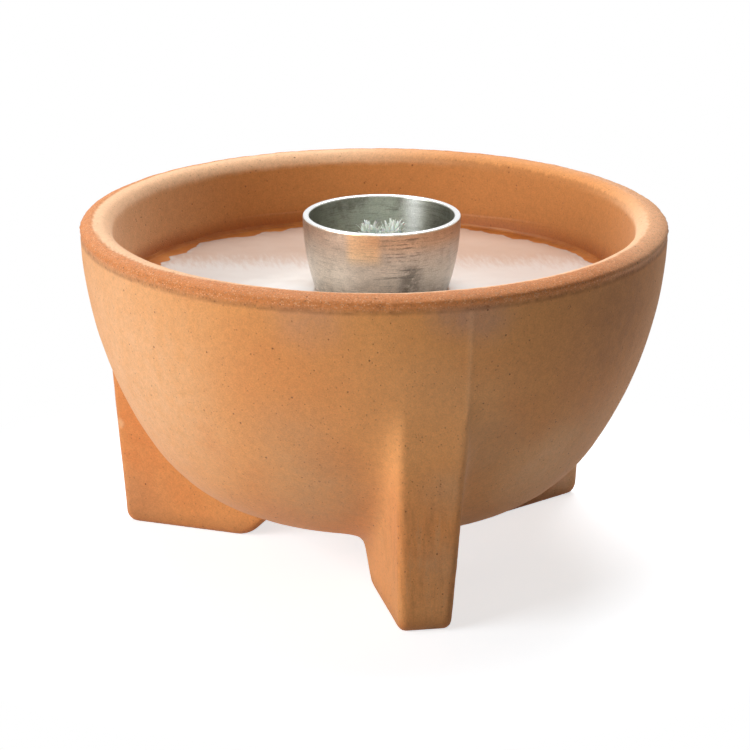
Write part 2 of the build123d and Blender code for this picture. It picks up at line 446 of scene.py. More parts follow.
def even_grid(node, spacing):
    """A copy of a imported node's mesh, with evenly spaced vertices that lie on its surface."""
    worker = add_object("clay_worker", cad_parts[node].data.copy())
    remesh = worker.modifiers.new("even_grid", "REMESH")
    remesh.mode = "VOXEL"
    remesh.voxel_size = spacing
    depsgraph = bpy.context.evaluated_depsgraph_get()
    mesh = bpy.data.meshes.new_from_object(worker.evaluated_get(depsgraph))
    bpy.data.objects.remove(worker)
    surface = surface_of(node)
    set_points(mesh, np.array([surface.find_nearest(Vector(p))[0] for p in points_of(mesh)]))
    return mesh


def faces_inwards(points, normals):
    """Marks the inside of the bowl, which faces its axis."""
    radius = np.hypot(points[:, 0], points[:, 1])
    radial = (points[:, :2] * normals[:, :2]).sum(1) / np.maximum(radius, MM)
    return (radial < -0.1) & (points[:, 2] > 0.2 * CREST_Z) & (radius < 0.9 * RIM_RADIUS)


def fill_coves(points, normals, links, inside, rounds):
    """Fills the hollows beside the feet, a little in each round."""
    height = points[:, 2]
    reach = np.zeros(len(points))
    for degrees in FOOT_ANGLES:
        out, across = foot_frame(points, degrees)
        beside = 1 - smooth_step(24 * MM, 32 * MM, np.abs(across))
        reach = np.maximum(reach, beside * (out > 30 * MM))
    reach *= (height < 0.86 * CREST_Z) * ~inside * (height > 4 * MM)
    for _ in range(rounds):
        lift = ((vertex_mean(points, links) - points) * normals).sum(1)
        points += normals * (np.maximum(lift, 0) * reach * COVE_PACE)[:, None]


def worn_and_highlit_edges(points, normals, links, spacing):
    """Marks the edges that stand out, for rubbed wear and a painted highlight along them."""
    bend = ((vertex_mean(points, links) - points) * normals).sum(1) / spacing
    for _ in range(2):
        bend = vertex_mean(bend[:, None], links)[:, 0]
    return smooth_step(0.02, 0.12, -bend)


def lip_marks(points, settings):
    """Marks the lip's sandy outer bead, its smooth inner band, and the crease below the bead."""
    radius = np.hypot(points[:, 0], points[:, 1])
    depth = CREST_Z - points[:, 2]
    wobble = 0.5 * MM * relief(points, 7 * MM, 5.0) + 0.25 * MM * relief(points, 2.5 * MM, 6.0)
    side = (0.6 * points[:, 0] - 0.8 * points[:, 1]) / radius
    width = settings.bead + settings.bead_growth * smooth_step(-0.4, 0.5, side)
    bead = smooth_step(-0.4 * MM, 0.4 * MM, radius - RIM_RADIUS + width + wobble)
    bead *= smooth_step(-1 * MM, 1 * MM, settings.bead_depth - depth)
    band = (1 - bead) * (radius < RIM_RADIUS - LIP_INSET)
    band *= 1 - smooth_step(2.6 * MM, 5 * MM, depth + wobble)
    crease = bell(depth - settings.crease_depth + 0.4 * wobble, CREASE_WIDTH)
    return bead, band, crease * (radius > RIM_RADIUS - LIP_INSET)


def mould_seams(points, inside):
    """Marks the mould seams that run up the outside beside the feet."""
    height = points[:, 2]
    seam = np.zeros(len(points))
    for degrees in FOOT_ANGLES:
        out, across = foot_frame(points, degrees)
        line = bell(across - SEAM_ASIDE, SEAM_WIDTH)
        seam = np.maximum(seam, line * (out > 0) * smooth_step(60 * MM, 72 * MM, height))
    return seam * smooth_step(4 * MM, 6 * MM, CREST_Z - height) * ~inside


def clay_bowl_mesh(settings):
    """The bowl with its feet, remeshed evenly: soft coves, a grainy bead and mould seams."""
    mesh = even_grid("bowl", settings.grid)
    points, normals, links = points_of(mesh), points_of(mesh, "normal"), links_of(mesh)
    inside = faces_inwards(points, normals)
    fill_coves(points, normals, links, inside, settings.cove_rounds)
    set_points(mesh, points)
    normals = points_of(mesh, "normal")

    worn = worn_and_highlit_edges(points, normals, links, settings.grid)
    bead, band, crease = lip_marks(points, settings)
    seam = mould_seams(points, inside)
    lump = relief(points, 22 * MM) + 0.5 * relief(points, 9 * MM, 3.0)
    grain = relief(points, 2.4 * MM, 7.0) + relief(points, 5 * MM, 11.0)
    rise = settings.unevenness * lump * 0.6 + bead * (settings.step + settings.bead_grain * grain)
    rise += settings.seam_height * seam - settings.step * crease
    points += normals * (rise * (points[:, 2] > SOLE_KEPT))[:, None]
    set_points(mesh, points)
    for name, values in zip(CLAY_MARKS, (bead, band, crease, seam, worn, inside)):
        mark(mesh, name, values)
    return mesh


def clay_tints(f, settings, inside):
    """The clay's clouds, discoloured places, painted light and shade on its sides, streaks and darker feet,
    and the wall above the wax with painted light on its left.
    """
    across, _, height = f.split()
    ragged = f.ramp(f.noise(150, 5, 0.7), 0.3, 0.66, 0.6, 1.0)
    clay = f.mix(f.ramp(f.noise(9, 2, 0.5), 0.45, 0.75, 0.0, 0.5), settings.base, settings.pale)
    clay = f.mix(f.ramp(f.noise(26, 3, 0.55), 0.5, 0.8, 0.0, 0.55), clay, settings.deep)
    for tint, place, reach, strength in CLAY_PATCHES:
        close = f.near(*(c * MM for c in place), reach * MM, 0.15)
        patch = f.times(close, strength)
        clay = f.tinted(clay, getattr(settings, tint), patch, ragged)
    streaks = f.noise(1.0, 4, 0.7, place=f.scaled(420, 420, 60))
    front = f.near(6 * MM, -102 * MM, 22 * MM, 44 * MM, 0.5)
    clay = f.tinted(clay, settings.brown, front, f.ramp(streaks, 0.45, 0.7, 0.0, 0.35))
    clay = f.tinted(clay, settings.chalk, front, f.ramp(streaks, 0.3, 0.5, 0.45, 0.0))
    clay = f.mix(f.ramp(height, 0.5 * MM, 9 * MM, 0.55, 0.0), clay, settings.brown)
    # Painted light: the wall above the wax is paler on the left, as if lit by light thrown from the wax.
    wall = f.mix(f.ramp(across, -0.09, -0.03, 0.8, 0.0), settings.inner, settings.pale)
    wall = f.mix(f.ramp(across, 0.0, 0.05, 0.0, 0.2), wall, settings.soaked)
    return f.mix(inside, clay, wall)


def wax_stain(f, settings, clay, inside):
    """The wall soaked with wax above its surface, with a pale tide line; and where it is soaked."""
    height = f.split()[2]
    stain = f.times(inside, f.ramp(height, WAX_Z + 1 * MM, WAX_Z + 8 * MM, 1.0, 0.0))
    clay = f.mix(stain, clay, settings.soaked)
    drift = f.ramp(f.noise(14, 2, 0.5), 0.2, 0.8, -1.2 * MM, 1.2 * MM)
    away = f.math("SUBTRACT", f.math("ADD", height, drift), WAX_Z + 5.5 * MM)
    line = f.ramp(f.math("ABSOLUTE", away), 0.15 * MM, 0.6 * MM, 0.25, 0.0)
    line = f.times(line, f.ramp(f.noise(8, 1, 0.5), 0.45, 0.6))
    return f.tinted(clay, settings.pale, line, inside), stain


def pinholes(f):
    """Marks scattered pinholes of two sizes."""
    pits = 0.0
    for scale, channel, low, high, depth in ((430, 0, 0.05, 0.22, 0.85), (1000, 1, 0.1, 0.4, 0.5)):
        distance, dice = f.cells(scale)
        chosen = f.ramp(f.split(dice)[channel], 0.84, 1.0, 0.0, depth)
        hole = f.times(f.ramp(distance, low, high, 1.0, 0.0), chosen)
        pits = f.math("MAXIMUM", pits, hole)
    return pits


def terracotta(settings):
    """Fired clay: cloudy and speckled, chalky in places, with a smooth lip, a sandy bead with painted light
    on its right, and rubbed edges with a painted highlight.
    """
    f = Finish("terracotta")
    bead, band, crease, seam, worn, inside = (f.marked(name) for name in CLAY_MARKS)
    clay = clay_tints(f, settings, inside)
    clay, stain = wax_stain(f, settings, clay, inside)
    # Rubbed wear and a painted highlight: the edges that stand out catch the key lamp.
    clay = f.tinted(clay, settings.deep, worn, 0.6)
    leftwards = f.ramp(f.vector("DOT_PRODUCT", f.place, (0.8, 0.6, 0)), 0.06, 0.1, 1.0, 0.0)
    clay = f.tinted(clay, settings.lip, band, leftwards)
    # Painted light: the bead is paler on the right, as if a lamp lit it from there.
    sandy = f.mix(f.ramp(f.split()[0], 0.06, 0.1, 0.0, 0.6), settings.deep, settings.lip)
    clay = f.tinted(clay, sandy, bead, 0.85)
    clay = f.tinted(clay, settings.pale, seam, 0.3)

    speckle = f.ramp(f.noise(1500, 4, 0.75), 0.3, 0.7, -1.0, 1.0)
    mottle = f.ramp(f.noise(420, 3, 0.6), 0.3, 0.7, -1.0, 1.0)
    value = f.math("ADD", f.times(speckle, 0.1), f.times(mottle, 0.04))
    clay = f.tone(clay, f.math("ADD", value, 1.0))
    broken = f.ramp(f.noise(300, 3, 0.7), 0.3, 0.6, 0.5, 1.0)
    clay = f.tinted(clay, settings.shade, crease, broken)
    pits = pinholes(f)
    clay = f.mix(pits, clay, settings.pit)

    distance, dice = f.cells(1700)
    bright, dark, _ = f.split(dice)
    sand = f.times(f.ramp(distance, 0.2, 0.6, 1.0, 0.0), bead)
    clay = f.tinted(clay, settings.grain, sand, f.ramp(bright, 0.5, 0.85, 0.0, 0.7))
    clay = f.tinted(clay, settings.pit, sand, f.ramp(dark, 0.5, 0.85, 0.0, 0.5))

    skin = f.bump(f.noise(1400, 4, 0.7), 0.1 * MM)
    skin = f.bump(pits, -0.25 * MM, below=skin)
    skin = f.bump(f.times(f.noise(1300, 3, 0.8), bead), 0.35 * MM, below=skin)
    return f.finish(
        Base_Color=clay, Roughness=f.ramp(stain, 0.0, 1.0, 0.75, 0.5), Normal=skin,
        Specular_IOR_Level=0.4, Sheen_Weight=0.12, Sheen_Roughness=0.5
    )


class BURNER_OT_bowl(bpy.types.Operator):
    """Makes the terracotta bowl with its three feet"""

    bl_idname = "burner.make_bowl"
    bl_label = "Make bowl"

    def execute(self, context):
        settings = context.scene.burner_clay
        mesh, material = clay_bowl_mesh(settings), terracotta(settings)
        add_piece("clay_bowl", mesh, material, "bowl", ("bowl",))
        return {"FINISHED"}


# ---- wax ----
class BurnerWax(bpy.types.PropertyGroup):
    """The wax in the bowl and in the cup."""

    fit: size(0.05 * MM, "Fit", "Gap between the set wax and the burner cup")
    bays: count(7, "Bays", "Waves of the set wax's edge all the way round")
    margin: size(2.0 * MM, "Margin", "Narrowest strip of clear wax between the set wax and the wall")
    bay: size(5.5 * MM, "Bay", "How much wider the strip is in a bay")
    jag: size(4.5 * MM, "Jags", "How far the jags of the edge cut in")
    fringe: size(1.3 * MM, "Fringe", "How far the finest raggedness of the edge goes")
    skin: size(0.5 * MM, "Skin", "Height of the set white wax above the clear wax at the wall")
    ripple: size(0.08 * MM, "Ripple", "Unevenness of the wax's surface")
    film: size(1.4 * MM, "Film", "How high the clear wax climbs the wall")
    white: colour(251, 251, 248, "White wax", "set wax where it is whitest")
    # Painted reflection in the set wax: this warm colour towards the back stands for the clay wall mirrored
    # there; it also tints the clear wax round the cup.
    warm: colour(230, 210, 195, "Warm wax", "rest of the set wax")
    dull: colour(219, 190, 170, "Dull wax", "cloudy places in the set wax")
    amber: colour(184, 108, 42, "Clear wax", "thin clear wax over the clay")
    honey: colour(204, 130, 60, "Honey wax", "thinnest clear wax")


SKIN_SUNK = 0.4 * MM  # how far the underside of the set wax lies below the wax line
FILM_SUNK = 0.3 * MM  # how far the clear film starts below the wax line, and goes into the wall


def wax_edge(turn, settings):
    """Radius of the set wax's ragged edge in one direction, in radians from +X."""
    way = Vector((math.cos(turn), math.sin(turn), 0))
    wave = 0.5 + 0.5 * math.sin(3 * turn + 0.9) * math.sin(settings.bays * turn + 2.0)
    jag = abs(noise.noise(way * 6))
    fine = noise.noise(way * 16) + 0.5 * noise.noise(way * 45)
    strip = settings.margin + settings.bay * wave + settings.jag * jag + settings.fringe * fine
    return WAX_RADIUS - strip


def wax_skin_mesh(settings):
    """The set white wax: a thin uneven sheet round the cup, with a ragged outer edge."""
    columns = 720
    wax_line = Vector((CUP_CENTRE.x, CUP_CENTRE.y, WAX_Z + settings.skin))
    side = Vector((1, 0, 0))
    cup_wall = surface_of("burner_cup").ray_cast(wax_line + side, -side)[0]
    hole = (cup_wall - wax_line).length + settings.fit
    beside_cup = [0, 0.001, 0.003, 0.008]
    sheet, border = np.linspace(0.02, 0.9, 38), np.linspace(0.915, 0.985, 8)
    steps = np.concatenate([beside_cup, sheet, border, [0.995, 1.0]])
    turns = np.linspace(0, 2 * math.pi, columns, endpoint=False)
    ways = np.array([np.cos(turns), np.sin(turns)])
    start = np.array([[CUP_CENTRE.x], [CUP_CENTRE.y]]) + hole * ways
    end = np.array([wax_edge(t, settings) for t in turns]) * ways
    flat = np.concatenate([(start * (1 - step) + end * step).T for step in steps])
    fall = np.repeat(1 - np.clip((steps - 0.93) / 0.07, 0, 1) ** 3, columns)
    ground = np.column_stack([flat, np.zeros(len(flat))])
    wave = relief(ground, 16 * MM) + 0.5 * relief(ground, 5 * MM, 4.0)
    top = WAX_Z + settings.skin * fall + settings.ripple * wave * fall
    points = np.column_stack([flat, top])
    under = np.concatenate([points[-columns:], points[:columns]])
    under[:, 2] = WAX_Z - SKIN_SUNK
    mesh = make_mesh("wax_skin", np.concatenate([points, under]), ring_faces(len(steps) + 2, columns))
    margin = np.repeat(smooth_step(0.95, 0.99, steps), columns)
    mark(mesh, "margin", np.concatenate([margin, np.ones(len(under))]))
    return mesh


def wax_film_mesh(settings):
    """The clear wax that climbs the wall above the surface, with an uneven top edge."""
    columns, rows = 480, 8
    turns = np.linspace(0, 2 * math.pi, columns, endpoint=False)
    surface = surface_of("bowl")
    wall, film = [], []
    for row in range(rows):
        for turn in turns:
            way = Vector((math.cos(turn), math.sin(turn), 0))
            reach = settings.film * (0.75 + 0.4 * noise.noise(way * 7) + 0.15 * noise.noise(way * 40))
            rise = row / (rows - 1)
            z = WAX_Z - FILM_SUNK + (reach + FILM_SUNK) * rise
            hit = surface.ray_cast(Vector((0, 0, z)), way)[0]
            thick = 0.5 * MM * (1 - rise) ** 2 + 0.04 * MM
            wall.append(hit + way * FILM_SUNK)
            film.append(hit - way * thick)
    outer = np.array(wall).reshape(rows, columns, 3)[::-1].reshape(-1, 3)
    return make_mesh("wax_film", np.concatenate([np.array(film), outer]), ring_faces(2 * rows, columns))


def set_wax(settings):
    """White candle wax, smooth and glossy, with a painted reflection: whitest on the front of the cup as
    the lamps mirrored, warm towards the back as the clay wall mirrored, with a streaked border between.
    """
    f = Finish("set_wax")
    streaks = f.noise(1.0, 4, 0.65, place=f.scaled(650, 110, 90))
    to_back = f.vector("DOT_PRODUCT", f.place, (0.18, 0.98, 0))
    to_back = f.math("ADD", to_back, f.ramp(streaks, 0.25, 0.75, -6 * MM, 6 * MM))
    # Painted reflection: the wax is white over the front and middle, where it would mirror the lamps, and
    # warm towards the back, where it would mirror the clay wall; the streaks fray the border between.
    white = f.ramp(to_back, 21 * MM, 46 * MM, 1.0, 0.0)
    cloud = f.ramp(f.noise(70, 4, 0.6), 0.35, 0.7, 0.0, 0.35)
    wax = f.mix(cloud, settings.warm, settings.dull)
    wax = f.mix(white, wax, settings.white)
    wax = f.mix(f.ramp(f.noise(900, 3, 0.7), 0.6, 0.8, 0.0, 0.3), wax, settings.white)
    wax = f.tinted(wax, settings.white, f.marked("margin"), 0.8)
    ripple = f.bump(f.noise(1.0, 3, 0.6, place=f.scaled(200, 80, 80)), 0.1 * MM)
    ripple = f.bump(f.noise(700, 2, 0.6), 0.01 * MM, below=ripple)
    return f.finish(
        Base_Color=wax, Roughness=0.35, Normal=ripple, Specular_IOR_Level=0.5,
        Coat_Weight=1.0, Coat_Roughness=0.16, Coat_IOR=2.2
    )


def clear_wax(settings):
    """Thin clear wax over clay; round the burner cup it has set white."""
    f = Finish("clear_wax")
    tint = f.mix(f.ramp(f.noise(90, 3, 0.6), 0.35, 0.7), settings.amber, settings.honey)
    flat = f.vector("MULTIPLY", f.vector("SUBTRACT", f.place, tuple(CUP_CENTRE)), (1, 1, 0))
    tint = f.mix(f.ramp(f.vector("LENGTH", flat), 30 * MM, 36 * MM, 1.0, 0.0), tint, settings.warm)
    ripple = f.bump(f.noise(150, 2), 0.1 * MM)
    return f.finish(Base_Color=tint, Roughness=0.45, Specular_IOR_Level=0.4, Normal=ripple)


class BURNER_OT_wax(bpy.types.Operator):
    """Finishes the wax and adds its set skin and the clear film on the wall"""

    bl_idname = "burner.make_wax"
    bl_label = "Make wax"

    def execute(self, context):
        settings = context.scene.burner_wax
        white, clear = set_wax(settings), clear_wax(settings)
        dress("wax_fill", clear)
        dress("wax_core", white)
        add_piece("wax_skin", wax_skin_mesh(settings), white, "bowl")
        add_piece("wax_film", wax_film_mesh(settings), clear, "bowl")
        return {"FINISHED"}


def dress(node, material):
    """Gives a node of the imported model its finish."""
    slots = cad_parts[node].material_slots
    for slot in slots:
        slot.link = "OBJECT"
        slot.material = material


# ---- burner cup ----
class BurnerCup(bpy.types.PropertyGroup):
    """The aluminium burner cup and the steel plate in it."""

    outside: colour(214, 200, 184, "Outside", "turned metal outside")
    inside: colour(186, 187, 174, "Inside", "smoked metal inside")
    # Also the painted highlight on the inside wall.
    polish_and_highlight: colour(232, 233, 233, "Rim", "bright rim")
    # Also painted shade: the right side outside, and a band inside beside the painted highlight.
    smoke_and_shade: colour(96, 90, 82, "Smoke", "dark smudges")
    copper: colour(248, 214, 168, "Warm tarnish", "warm patch under the rim")
    line_depth: size(0.03 * MM, "Turning lines", "Depth of the lines left by the lathe")


def turned_metal(settings):
    """Turned aluminium: lathe lines outside, a bright rim, a smoked inside, painted shade on the right
    side, and a painted highlight with painted shade beside it inside.
    """
    f = Finish("turned_aluminium")
    offset = f.vector("SUBTRACT", f.place, tuple(CUP_CENTRE))
    x, y, _ = f.split(offset)
    below = f.math("SUBTRACT", CUP_HIGH.z, f.split()[2])
    turn = f.math("ARCTAN2", x, f.times(y, -1.0))
    flat = f.vector("MULTIPLY", offset, (1, 1, 0))
    facing = f.vector("DOT_PRODUCT", flat, f.node("ShaderNodeNewGeometry").outputs["Normal"])
    inside = f.ramp(facing, -1 * MM, 1 * MM, 1.0, 0.0)
    rim = f.ramp(below, 0.15 * MM, 0.5 * MM, 1.0, 0.0)
    fine = f.noise(1.0, 3, 0.8, place=f.scaled(120, 120, 4200))
    coarse = f.noise(1.0, 1, 0.5, place=f.scaled(25, 25, 900))
    broken = f.ramp(f.noise(1.0, 3, 0.7, place=f.scaled(260, 260, 900)), 0.35, 0.55)
    smudge = f.ramp(f.noise(90, 5, 0.7), 0.45, 0.72)
    soft = f.noise(260, 4, 0.7)
    grit = f.ramp(f.noise(2200, 2, 0.8), 0.35, 0.65, 0.88, 1.1)

    def sector(start, end, edge):
        """1 between two directions round the cup, in degrees from the front."""
        rise = f.ramp(turn, math.radians(start - edge), math.radians(start + edge))
        fall = f.ramp(turn, math.radians(end - edge), math.radians(end + edge), 1.0, 0.0)
        return f.times(rise, fall)

    def depths(low, high, start=1.0, end=0.0):
        """Goes from start to end between two depths below the rim, in millimetres."""
        return f.ramp(below, low * MM, high * MM, start, end)

    smoky = f.times(sector(4, 20, 6), f.ramp(soft, 0.3, 0.55))
    scored = f.times(sector(-10, 22, 7), f.times(f.ramp(coarse, 0.56, 0.6), broken))
    outer = f.mix(f.ramp(soft, 0.4, 0.75, 0.0, 0.25), settings.outside, settings.smoke_and_shade)
    outer = f.tinted(outer, settings.smoke_and_shade, smudge, 0.1)
    outer = f.tinted(outer, settings.copper, sector(-36, -12, 4), depths(8, 14, 0.75))
    outer = f.tinted(outer, settings.copper, sector(-12, 70, 8), depths(5, 9, 0.3))
    # Painted shade on the right side of the cup, away from the key lamp.
    outer = f.tinted(outer, settings.smoke_and_shade, sector(18, 95, 14), 0.3)
    outer = f.tinted(outer, settings.smoke_and_shade, scored, 0.5)
    outer = f.tinted(outer, settings.smoke_and_shade, smoky, depths(11, 15, 0.0, 0.7))
    outer = f.tinted(outer, settings.smoke_and_shade, f.ramp(fine, 0.5, 0.64, 0.0, 0.45), broken)
    outer = f.tinted(outer, settings.smoke_and_shade, f.ramp(soft, 0.35, 0.65), depths(20, 26, 0.0, 0.3))
    inner = f.tinted(settings.inside, settings.smoke_and_shade, smudge, 0.6)
    inner = f.tinted(inner, settings.smoke_and_shade, f.ramp(fine, 0.5, 0.62, 0.0, 0.5), broken)
    inner = f.tinted(inner, settings.smoke_and_shade, sector(-180, -60, 40), 0.25)
    # Painted shade inside, beside the painted highlight.
    inner = f.tinted(inner, settings.smoke_and_shade, sector(40, 134, 8), 0.42)
    # Painted highlight: a bright upright band inside, where a lamp would be mirrored.
    inner = f.tinted(inner, settings.polish_and_highlight, sector(136, 150, 8), 0.65)
    metal = f.tone(f.mix(inside, outer, inner), grit)
    metal = f.mix(rim, metal, settings.polish_and_highlight)
    rough = f.ramp(rim, 0.0, 1.0, 0.36, 0.22)
    turned = f.bump(f.math("ADD", fine, f.times(coarse, 1.5)), settings.line_depth)
    return f.finish(Base_Color=metal, Metallic=1.0, Roughness=rough, Normal=turned)


def plate_steel(settings):
    """Sooty steel plate."""
    f = Finish("sooty_steel")
    tone = f.mix(f.noise(300, 3, 0.6), settings.smoke_and_shade, settings.inside)
    grit = f.bump(f.noise(1500, 2), 0.05 * MM)
    return f.finish(Base_Color=tone, Metallic=1.0, Roughness=0.45, Normal=grit)


class BURNER_OT_cup(bpy.types.Operator):
    """Finishes the burner cup and the wick plate"""

    bl_idname = "burner.finish_cup"
    bl_label = "Finish cup"

    def execute(self, context):
        settings = context.scene.burner_cup
        dress("burner_cup", turned_metal(settings))
        dress("wick_plate", plate_steel(settings))
        return {"FINISHED"}


# ---- wick ----
class BurnerWick(bpy.types.PropertyGroup):
    """The glass-fibre wick cords."""

    strands: count(7, "Strands", "Strands twisted together in a cord")
    pitch: size(18 * MM, "Twist", "Length of one turn of the strands")
    locks: count(60, "Locks", "Thick loose locks at the tip of a cord")
    fibres: count(90, "Fibres", "Fine loose fibres at the tip of a cord")
    body: size(2.4 * MM, "Cord", "Radius of a cord below its frayed tip")
    fray: size(12 * MM, "Fray", "Length of a cord's frayed tip")
    lock: size(1.0 * MM, "Lock", "Radius of a loose lock at its root")
    lock_drop: size(8 * MM, "Lock drop", "How far below the tip the outermost locks can end")
    fibre: size(0.16 * MM, "Fibre", "Radius of a loose fibre at its root")
    fibre_drop: size(7 * MM, "Fibre drop", "How far below the tip the outermost fibres can end")
    flare: size(2.3 * MM, "Flare", "How far the loose ends spread past the packed cord")
    tint: colour(244, 250, 242, "Glass fibre", "wick")
    char: colour(180, 182, 170, "Char", "smoked fibre ends")


STRAND_SHARE = 0.36  # radius of a strand over the radius of its cord
STRAND_STEPS, STRAND_SIDES = 70, 10
STRAND_LAP = 3 * MM  # how far the strands run up into the frayed tip
ROOT_SHARE = 0.85  # part of the cord's radius over which the loose ends are rooted
LOOSE_STEPS, LOOSE_SIDES = 7, 6
LOOSE_TAPER = 0.8  # part of its thickness that a loose end loses on the way to its tip


def tube(path, radii, sides):
    """Points and faces of a closed tube along a path."""
    points, faces = [], []
    for k, (spot, radius) in enumerate(zip(path, radii)):
        ahead = path[min(k + 1, len(path) - 1)] - path[max(k - 1, 0)]
        across = ahead.orthogonal() if k == 0 else across - across.project(ahead)
        across.normalize()
        other = ahead.normalized().cross(across)
        for j in range(sides):
            turn = 2 * math.pi * j / sides
            points.append(spot + radius * (across * math.cos(turn) + other * math.sin(turn)))
    faces = grid_faces(len(path), sides)
    faces.append(tuple(range(sides)))
    faces.append(tuple(range((len(path) - 1) * sides, len(path) * sides)))
    return points, faces


def joined(name, parts):
    """One mesh from many sets of points and faces."""
    points, faces = [], []
    for some_points, some_faces in parts:
        start = len(points)
        points.extend(some_points)
        faces.extend(tuple(start + k for k in face) for face in some_faces)
    return make_mesh(name, points, faces)


def strand(k, axis, low, high, settings):
    """One strand of a cord: the first runs up the middle and the others twist round it."""
    radius = STRAND_SHARE * settings.body
    ring = 0 if k == 0 else settings.body - radius
    phase = 2 * math.pi * k / max(settings.strands - 1, 1)
    path = []
    for step in range(STRAND_STEPS + 1):
        z = low + (high - low) * step / STRAND_STEPS
        turn = phase + 2 * math.pi * (z - low) / settings.pitch
        path.append(Vector((axis.x + ring * math.cos(turn), axis.y + ring * math.sin(turn), z)))
    return tube(path, [radius] * len(path), STRAND_SIDES)


def cord_mesh(node, settings, dice):
    """One wick cord: twisted strands that fray into loose locks and fibres at the top."""
    low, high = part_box(node)
    middle = (low + high) / 2
    root = Vector((middle.x, middle.y, high.z - settings.fray))
    strand_top = root.z + STRAND_LAP
    parts = [strand(k, middle, low.z, strand_top, settings) for k in range(settings.strands)]
    reach = (high.x - low.x) / 2 + settings.flare
    for count, thickness, drop in (
        (settings.locks, settings.lock, settings.lock_drop),
        (settings.fibres, settings.fibre, settings.fibre_drop),
    ):
        for _ in range(count):
            parts.append(loose_end(root, high.z, reach, settings.body, thickness, drop, dice))
    return joined(node + "_frayed", parts)


def loose_end(root, top, reach, body_radius, thickness, most_drop, dice):
    """One lock or fibre that stands up from a cord's tip, leans outwards and curls a little."""
    turn, spread = dice.uniform(0, 2 * math.pi), math.sqrt(dice.random())
    way = Vector((math.cos(turn), math.sin(turn), 0))
    lean_turn = turn + dice.uniform(-0.8, 0.8)
    lean = Vector((math.cos(lean_turn), math.sin(lean_turn), 0))
    curl = lean.cross(Vector((0, 0, 1))) * dice.uniform(-1.2, 1.2) * MM
    root_radius = ROOT_SHARE * body_radius
    start = root + way * spread * root_radius
    lobe = 0.5 + 0.5 * math.sin(2 * turn + 40 * root.x / MM)
    drop = spread * dice.uniform(0.5, 1.0) + 0.25 * lobe * spread + dice.uniform(0, 0.1)
    length = top - drop * most_drop - root.z
    outwards = (reach - thickness - root_radius * spread) * dice.uniform(0.1, 1.0)
    path, radii = [], []
    for step in range(LOOSE_STEPS + 1):
        t = step / LOOSE_STEPS
        spot = start + lean * outwards * t * t + curl * math.sin(math.pi * t)
        spot.z += length * t
        path.append(spot)
        radii.append(thickness * (1 - LOOSE_TAPER * t ** 3))
    return tube(path, radii, LOOSE_SIDES)


def glass_fibre(settings):
    """White glass fibre, greenish and a little translucent, smoked at the tips."""
    f = Finish("glass_fibre")
    height = f.split()[2]
    patch = f.ramp(f.noise(400, 3, 0.6), 0.55, 0.75)
    smoke_and_shade = f.times(patch, f.ramp(height, CORE_TOP, CUP_HIGH.z, 0.1, 0.5))
    fibre = f.mix(smoke_and_shade, settings.tint, settings.char)
    weave = f.bump(f.noise(1.0, 2, 0.6, place=f.scaled(2600, 2600, 300)), 0.1 * MM)
    return f.finish(
        Base_Color=fibre, Roughness=0.55, Normal=weave, Subsurface_Weight=0.15, Subsurface_Scale=1.0 * MM
    )


class BURNER_OT_wick(bpy.types.Operator):
    """Makes the five wick cords with frayed tips"""

    bl_idname = "burner.make_wick"
    bl_label = "Make wick"

    def execute(self, context):
        settings = context.scene.burner_wick
        material = glass_fibre(settings)
        dice = random.Random(5)
        for node in CORDS:
            mesh = cord_mesh(node, settings, dice)
            add_piece(node + "_frayed", mesh, material, "wick", (node,))
        return {"FINISHED"}


# ---- stage ----
class BurnerStage(bpy.types.PropertyGroup):
    """The camera, lamps, floor and surroundings."""

    distance: size(1.4208, "Distance", "Camera to the bowl's axis, over the ground")
    height: size(0.5125, "Height", "Height of the camera")
    turn: angle(CAMERA_TURN, "Turn", "Direction of the camera from the front")
    pitch: angle(17.407, "Pitch", "How far the camera looks down")
    lens: amount(188.42, "Lens", "Focal length on a 36 mm sensor, in millimetres")
    shift: amount(1 / 750, "Shift", "Sideways shift of the picture, as a part of its width")
    key: amount(10.4, "Key light", "Power of the low soft lamp at the left, in watts")
    top: amount(11.4, "Top light", "Power of the soft lamp above and behind, in watts")
    air: amount(0.06, "Surroundings", "Strength of the light from all round")
    floor: colour(224, 231, 238, "Floor", "floor")
    glow: amount(0.7, "Floor glow", "Plain white added to the picture of the floor beside the bowl")
    shadow: size(0.105, "Shadow", "Distance from the axis as far as which the floor's shadow is whole")
    shadow_end: size(0.21, "Shadow end", "Distance from the axis from which the floor is plain white")


# Name, setting with its power, direction in degrees from behind the bowl, distance, height,
# height of what it lights, width and height of the lamp itself, in metres.
LAMPS = (
    ("key_softbox", "key", -120, 1.15, 0.45, 0.06, 0.8, 0.6),
    ("top_softbox", "top", 0, 0.5, 1.0, 0.1, 0.8, 0.8),
)
FLOOR_RINGS = (0.02, 0.6, 2.5)  # radii of the floor's rings, in metres


def aimed(position, target):
    """A turned frame at a position that looks at a target."""
    way = (Vector(target) - Vector(position)).to_track_quat("-Z", "Y")
    return Matrix.Translation(Vector(position)) @ way.to_matrix().to_4x4()


def softbox(name, power, position, target, width, height):
    """A large rectangular lamp."""
    lamp = bpy.data.lights.new(name, "AREA")
    lamp.shape = "RECTANGLE"
    lamp.size, lamp.size_y = width, height
    lamp.energy = power
    add_object(name, lamp).matrix_world = aimed(position, target)


def around(degrees, distance, height):
    """A place at this direction from behind the bowl, seen from the camera, clockwise."""
    turn = math.radians(degrees - CAMERA_TURN)
    return (distance * math.sin(turn), distance * math.cos(turn), height)


